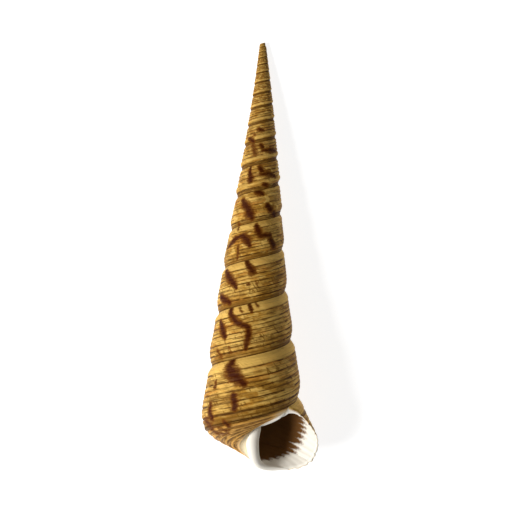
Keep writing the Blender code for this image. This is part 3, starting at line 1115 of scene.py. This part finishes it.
class ShellMaterial:
    """The finish of the whole shell, wired from the values that its mesh carries."""

    def __init__(self, finish: ShellFinish) -> None:
        """Starts an empty material.

        Args:
            finish: its colours, gloss and grain.
        """
        self.finish = finish
        self.material = bpy.data.materials.new("shell")
        self.material.use_nodes = True
        self.material.node_tree.nodes.clear()
        self.wire = Wiring(self.material.node_tree)
        self.place = self.wire.node("ShaderNodeTexCoord").outputs["Object"]
        self.values: dict[Value, Socket] = {}

    def build(self) -> bpy.types.Material:
        """Wires the whole material.

        Returns:
            The material.
        """
        self._read_mesh()
        self._add_noises()
        self._derive()
        surface = self.wire.node(
            "ShaderNodeBsdfPrincipled",
            {
                "Base Color": self._colour(),
                "Roughness": self._roughness(),
                "Normal": self._bump(),
                "Specular IOR Level": self.finish.specular,
            },
        )
        self.wire.node("ShaderNodeOutputMaterial", {"Surface": surface.outputs[0]})
        return self.material

    def _read_mesh(self) -> None:
        """Reads the growth, tone, marking and nacre values of the mesh."""
        growth = self.wire.attribute(Layer.GROWTH).outputs["Vector"]
        split = self.wire.node("ShaderNodeSeparateXYZ", {0: growth}).outputs
        self.values.update(zip((Value.TURNS, Value.V, Value.SIZE), split))
        for value, layer in (
            (Value.TONE, Layer.TONE),
            (Value.MARKING, Layer.MARKING),
            (Value.NACRE, Layer.NACRE),
        ):
            self.values[value] = self.wire.attribute(layer).outputs["Fac"]

    def _add_noises(self) -> None:
        """Adds the noises, which run along the growth of the shell."""
        for value, noise in self.finish.noises().items():
            across = self.wire.product(self.values[Value.TURNS], noise.across)
            down = self.wire.product(self.values[Value.V], noise.down)
            vector = self.wire.node("ShaderNodeCombineXYZ", {0: across, 1: down, 2: noise.seed}).outputs[0]
            self.values[value] = self.wire.noise(vector, 1.0, noise.detail, noise.rough)

    def _derive(self) -> None:
        """Works out the spire, the smooth band and the rough rest, and breaks grooves and markings."""
        wire, finish, values = self.wire, self.finish, self.values
        values[Value.SPIRE] = self._thickness(finish.spire)
        values[Value.SMOOTH] = self._thickness(*finish.band)
        off_band = wire.math("SUBTRACT", 1.0, wire.product(values[Value.SMOOTH], finish.band_clears))
        values[Value.ROUGH] = wire.product(off_band, self._thickness(finish.off_base, finish.off_spire))
        on_spire = wire.product(values[Value.SPIRE], finish.spire_grooved)
        values[Value.HELD] = wire.math("MAXIMUM", self._thickness(*finish.groove_breaks), on_spire)
        ragged = wire.centred(values[Value.RAGGED], finish.ragged_edge)
        values[Value.SPREAD] = wire.math("ADD", values[Value.MARKING], ragged)

    def _thickness(self, *follows: Follow | Value) -> Socket:
        """The product of what a coat follows.

        Args:
            follows: changes with a value, or values taken as they are.

        Returns:
            Their product.
        """
        parts = []
        for follow in follows:
            if isinstance(follow, Value):
                parts.append(self.values[follow])
            else:
                parts.append(self.wire.ramped(self.values[follow.value], *follow[1:]))
        return self.wire.product(*parts)

    def _colour(self) -> Socket:
        """Lays the coats over the ground, and the mouth: white at the lip and, past a ragged edge, brown
        deeper in, partly the inside's own colour and partly painted shade of the hollow.

        Returns:
            The colour.
        """
        colour = self.finish.ground
        for coat in self.finish.coats():
            share = self._thickness(*coat.follows)
            if coat.strength < 1.0:
                share = self.wire.product(share, coat.strength)
            colour = self.wire.mixed(share, colour, coat.colour)
        fingers = self.wire.product(self.values[Value.TONE], self.finish.finger_length)
        fingers = self.wire.math("SUBTRACT", self.values[Value.TURNS], fingers)
        noise = self.wire.noise(self.place, *self.finish.finger_noise)
        fingers = self.wire.math("ADD", fingers, self.wire.centred(noise, self.finish.finger_ragged))
        # brown: painted shade deeper in the hollow, as well as the inside's own colour
        brown = self.wire.ramped(fingers, *self.finish.finger_ends)
        inside = self.wire.mixed(brown, self.finish.nacre, self.finish.deep)
        return self.wire.mixed(self._thickness(self.finish.inside), colour, inside)

    def _roughness(self) -> Socket:
        """How rough the surface is: unevenly so along the threads, and less in the mouth.

        Returns:
            The roughness.
        """
        rough = self._thickness(self.finish.thread_roughness)
        smoother = self.wire.product(self.values[Value.NACRE], self.finish.nacre_smoother)
        return self.wire.math("SUBTRACT", rough, smoother)

    def _bump(self) -> Socket:
        """The fine relief of threads, growth lines and grain, nearly none in the mouth.

        Returns:
            The normal.
        """
        wire, finish = self.wire, self.finish
        threads, lines = self.values[Value.THREADS], self.values[Value.GROWTH_LINES]
        grain = wire.noise(self.place, *finish.grain)
        shares = [wire.product(*pair) for pair in zip((threads, lines, grain), finish.bump_shares)]
        height = wire.math("ADD", wire.math("ADD", shares[0], shares[1]), shares[2])
        flatter = wire.product(self.values[Value.NACRE], finish.nacre_flatter)
        height = wire.product(height, wire.math("SUBTRACT", 1.0, flatter))
        relief = {"Height": height, "Strength": finish.bump_strength, "Distance": finish.bump_distance}
        return wire.node("ShaderNodeBump", relief).outputs[0]


# ---------------------------------------------------------------- the whole shell


@dataclass(frozen=True)
class TurretShell:
    """The whole shell: its parts as one mesh, in one finish.

    An edge whose two sides differ by more than whorl_step turns lies between two whorls.
    """

    laws: Laws = field(default_factory=Laws)
    finish: ShellFinish = field(default_factory=ShellFinish)
    whorl_step: float = 0.5

    def build(self) -> bpy.types.Object:
        """Makes the mesh, closes its seams and its worn tip, and dresses it.

        Returns:
            The shell.
        """
        bm = bmesh.new()
        bm.loops.layers.float_vector.new(Layer.GROWTH.value)
        for layer in (Layer.TONE, Layer.MARKING, Layer.NACRE):
            bm.loops.layers.float.new(layer.value)
        self._add_parts(bm)
        bmesh.ops.remove_doubles(bm, verts=bm.verts, dist=WELD_M)
        self._close(bm)
        self._mark_suture(bm)
        bmesh.ops.recalc_face_normals(bm, faces=bm.faces)
        mesh = bpy.data.meshes.new("shell")
        bm.to_mesh(mesh)
        bm.free()
        mesh.materials.append(ShellMaterial(self.finish).build())
        shell = bpy.data.objects.new("shell", mesh)
        bpy.context.scene.collection.objects.link(shell)
        return shell

    def _add_parts(self, bm: bmesh.types.BMesh) -> None:
        """Adds the wall, the base, the mouth and the inner lip, whose edges match point by point.

        Args:
            bm: the mesh that takes them.
        """
        wall, base = Wall(self.laws), Base(self.laws)
        walls = wall.sheets()
        columns = walls[0].points.shape[1]
        for index, (sheet, (_, _, steps)) in enumerate(zip(walls, wall.densities)):
            verts = sheet.add_to(bm)
            if index:
                edge = [verts[ring * columns + columns - 1] for ring in range(steps + 1)]
                cut = [bm.edges.get(pair) for pair in zip(edge, edge[1:])]
                bmesh.ops.subdivide_edges(bm, edges=cut, cuts=1)
        rings_to_a_turn = wall.densities[0][2]
        base_sheet = base.sheet(walls[0].points[: rings_to_a_turn + 1, -1])
        base_sheet.add_to(bm)
        Mouth(self.laws, base).sheet(walls[0], base_sheet).add_to(bm)
        InnerLip(self.laws).sheet().add_to(bm)

    def _close(self, bm: bmesh.types.BMesh) -> None:
        """Fills the worn tip, the deep end of the hollow and the ends of the inner lip.

        Args:
            bm: the welded mesh.
        """
        left = dict.fromkeys(edge for edge in bm.edges if edge.is_boundary)
        while left:
            loop, ends = [], [left.popitem()[0]]
            while ends:
                edge = ends.pop()
                loop.append(edge)
                near = dict.fromkeys(e for vert in edge.verts for e in vert.link_edges if e in left)
                for found in near:
                    del left[found]
                ends += near
            faces = bmesh.ops.contextual_create(bm, geom=loop)["faces"]
            bmesh.ops.poke(bm, faces=faces)
            log.info("closed an opening of %d edges", len(loop))
        log.info("open edges left: %d", sum(not edge.is_manifold for edge in bm.edges))

    def _mark_suture(self, bm: bmesh.types.BMesh) -> None:
        """Shades the mesh smooth, and makes the edges where one whorl meets the next sharp.

        Args:
            bm: the closed mesh.
        """
        growth = bm.loops.layers.float_vector[Layer.GROWTH.value]
        for face in bm.faces:
            face.smooth = True
        for edge in bm.edges:
            if len(edge.link_loops) == 2:
                first, second = (loop[growth].x for loop in edge.link_loops)
                edge.smooth = abs(first - second) < self.whorl_step


# ---------------------------------------------------------------- studio


@dataclass(frozen=True)
class Studio:
    """A pale floor, one soft light, and a camera that looks down on the shell.

    The camera's aim (x and s), its distance, the side of the square that it frames and its
    sensor are in mm; other lengths are in metres.
    """

    aim: Pair = (0.77, 60.55)
    distance: float = 400.0
    frame_side: float = 131.282
    sensor: float = 36.0
    clip_start: float = 0.01
    floor_side: float = 3.0
    floor_colour: Triple = (0.48, 0.48, 0.48)
    floor_roughness: float = 0.9
    floor_glow: float = 0.86
    world_strength: float = 0.12
    light_place: Triple = (-0.72, -0.14, 0.66)
    light_side: float = 0.40
    light_power: float = 11.6

    def build(self, spiral: Spiral) -> None:
        """Adds the floor, the light, the world and the camera.

        Args:
            spiral: the growth of the shell that the camera looks at.
        """
        self._floor()
        self._light()
        self._world()
        self._camera(spiral)
        view = bpy.context.scene.view_settings
        view.view_transform = "Standard"
        view.look = "None"

    def _floor(self) -> None:
        """A plain pale floor under the shell."""
        bm = bmesh.new()
        bmesh.ops.create_grid(bm, x_segments=1, y_segments=1, size=self.floor_side / 2.0)
        mesh = bpy.data.meshes.new("floor")
        bm.to_mesh(mesh)
        bm.free()
        floor = bpy.data.objects.new("floor", mesh)
        material = bpy.data.materials.new("floor")
        material.use_nodes = True
        surface = material.node_tree.nodes["Principled BSDF"]
        surface.inputs["Base Color"].default_value = (*self.floor_colour, 1.0)
        surface.inputs["Roughness"].default_value = self.floor_roughness
        surface.inputs["Specular IOR Level"].default_value = 0.0
        surface.inputs["Emission Color"].default_value = (1.0, 1.0, 1.0, 1.0)
        surface.inputs["Emission Strength"].default_value = self.floor_glow
        mesh.materials.append(material)
        bpy.context.scene.collection.objects.link(floor)

    def _light(self) -> None:
        """A square soft light that faces the shell."""
        data = bpy.data.lights.new("key", "AREA")
        data.size = self.light_side
        data.energy = self.light_power
        light = bpy.data.objects.new("key", data)
        light.location = self.light_place
        light.rotation_euler = (-Vector(self.light_place)).to_track_quat("-Z", "Y").to_euler()
        bpy.context.scene.collection.objects.link(light)

    def _world(self) -> None:
        """An even white surround."""
        world = bpy.data.worlds.new("studio")
        world.use_nodes = True
        surround = world.node_tree.nodes["Background"]
        surround.inputs["Color"].default_value = (1.0, 1.0, 1.0, 1.0)
        surround.inputs["Strength"].default_value = self.world_strength
        bpy.context.scene.world = world

    def _camera(self, spiral: Spiral) -> None:
        """A camera square to the coiling axis, on the mouth's side.

        Args:
            spiral: the growth of the shell, which says where its axis lies.
        """
        x, s = self.aim
        up = Vector((0.0, math.cos(spiral.lean), -math.sin(spiral.lean)))
        out = Vector((0.0, math.sin(spiral.lean), math.cos(spiral.lean)))
        target = Vector((x - spiral.centre[0], -spiral.centre[1], 0.0)) - up * s
        data = bpy.data.cameras.new("camera")
        data.sensor_width = self.sensor
        data.lens = self.sensor * self.distance / self.frame_side
        data.clip_start = self.clip_start
        camera = bpy.data.objects.new("camera", data)
        camera.location = (target + out * self.distance) * METRES_PER_MM
        camera.rotation_euler = (-spiral.lean, 0.0, 0.0)
        bpy.context.scene.collection.objects.link(camera)
        bpy.context.scene.camera = camera


def main() -> None:
    """Builds the shell and the studio."""
    maker = TurretShell()
    shell = maker.build()
    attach(shell, "root")
    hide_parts("turret_shell")
    triangles = sum(len(face.vertices) - 2 for face in shell.data.polygons)
    log.info("shell: %d vertices, %d triangles", len(shell.data.vertices), triangles)
    Studio().build(maker.laws.spiral)


if __name__ == "__main__":
    main()
